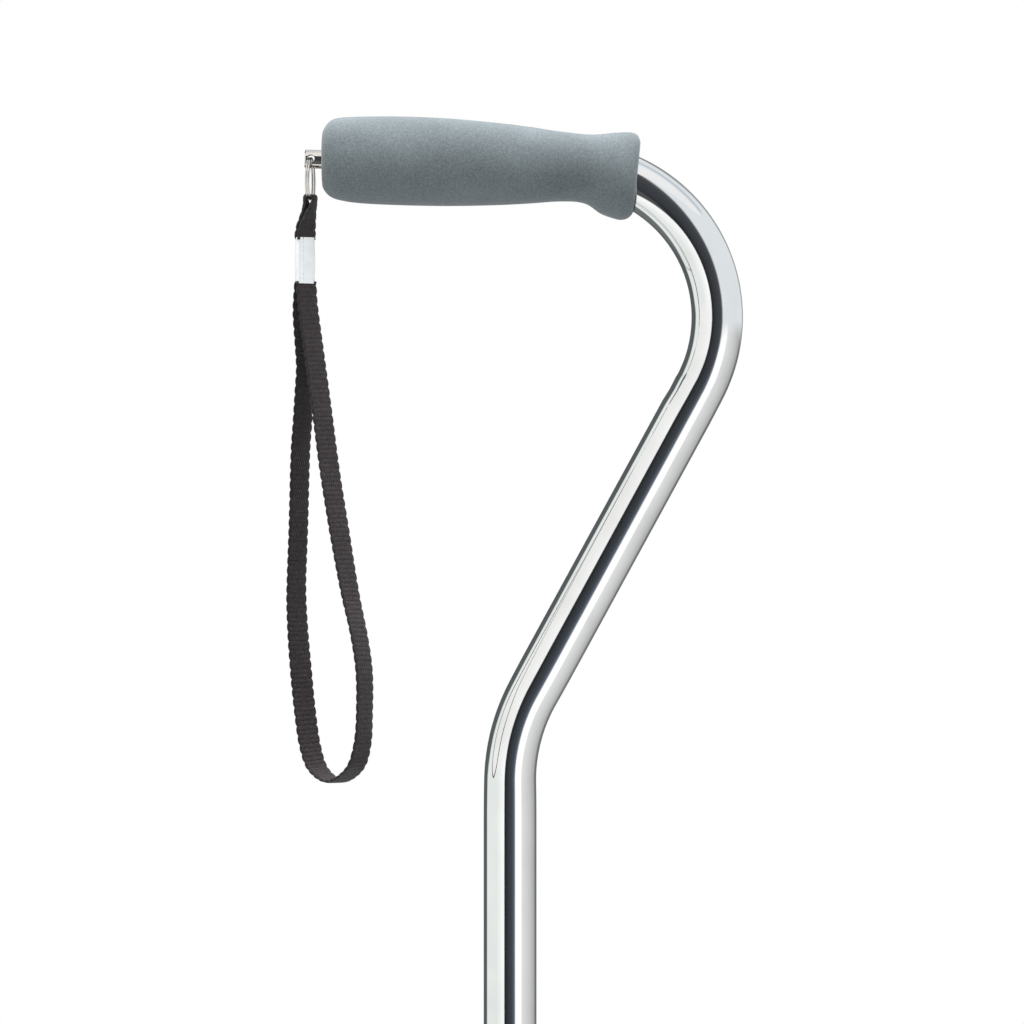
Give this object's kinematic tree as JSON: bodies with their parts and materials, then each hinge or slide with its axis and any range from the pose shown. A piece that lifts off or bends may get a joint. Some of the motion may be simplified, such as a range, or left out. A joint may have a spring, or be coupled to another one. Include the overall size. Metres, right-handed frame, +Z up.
{
  "type": "quad walking cane",
  "caption": "Offset-handle walking cane with a foam grip, wrist strap, push-button height adjustment and a low base of splayed legs on rubber tips.",
  "frame": {"origin": "floor level, under the middle of the cane's bounding box without the strap", "axes": "+Z up along the shaft; -X from the shaft towards the strap end of the handle, +X towards the handle's bend; +Y towards the wide side of the base"},
  "size_m": [0.1931, 0.216, 0.7618],
  "materials": {
    "chrome_tube": "bright plated, mirror-like",
    "grip_foam": "fine-grained matt foam, slate grey",
    "nylon": "moulded, satin",
    "nickel": "nickel plated, lightly brushed",
    "webbing": "ribbed flat webbing, near black",
    "crimp": "bright rolled sheet",
    "zinc": "zinc plated",
    "painted": "grey enamel, satin",
    "tip_rubber": "moulded, matt"
  },
  "bodies": {
    "base": {"lower_tube": "chrome_tube", "tube_top_glide": "nylon", "button_spring": "zinc", "base_hub": "painted", "front_leg_tube": "chrome_tube", "rear_leg_tube": "chrome_tube", "hub_bolt": "zinc", "hub_nut": "zinc", "hub_washer_front": "zinc", "hub_washer_rear": "zinc", "tip_front_outer": "tip_rubber", "tip_front_inner": "tip_rubber", "tip_rear_outer": "tip_rubber", "tip_rear_inner": "tip_rubber", "tip_washer_front_outer": "zinc", "tip_washer_front_inner": "zinc", "tip_washer_rear_outer": "zinc", "tip_washer_rear_inner": "zinc"},
    "button": {"snap_button": "nickel"},
    "clamp_ring": {"compression_ring": "nylon"},
    "upper": {"handle_tube": "chrome_tube", "foam_grip": "grip_foam", "handle_end_plug": "nylon", "strap_stud": "nickel", "thread_sleeve": "nylon"},
    "collar": {"locking_collar": "nylon"},
    "ring": {"split_ring": "nickel"},
    "strap": {"strap_eye": "webbing", "strap_ferrule": "crimp", "strap_loop": "webbing"}
  },
  "joints": [
    {"name": "height", "type": "slide", "parent": "base", "child": "clamp_ring", "axis": [0, 0, 1], "range_m": [0, 0.2032], "deforming": ["snap_button", "button_spring"]},
    {"name": "handle_turn", "type": "hinge", "parent": "clamp_ring", "child": "upper", "pos_m": [-0.00595, -0.043, 0.114], "axis": [0, 0, 1], "range_deg": [0, 180], "deforming": ["snap_button", "button_spring"]},
    {"name": "collar_turn", "type": "hinge", "parent": "upper", "child": "collar", "pos_m": [-0.00595, -0.043, 0.122], "axis": [0, 0, 1], "range_deg": [0, 180]},
    {"name": "button_press", "type": "slide", "parent": "base", "child": "button", "axis": [-1, 0, 0], "range_m": [0, 0.0036], "stiffness_N_per_m": 900, "springref_m": -0.003, "deforming": ["button_spring"]},
    {"name": "ring_swing", "type": "hinge", "parent": "upper", "child": "ring", "pos_m": [-0.08975, -0.043, 0.74393], "axis": [0.0872, 0.9962, 0], "range_deg": [-5, 85]},
    {"name": "strap_swing", "type": "hinge", "parent": "ring", "child": "strap", "pos_m": [-0.08975, -0.043, 0.72696], "axis": [0.0872, 0.9962, 0], "range_deg": [-5, 60]}
  ]
}
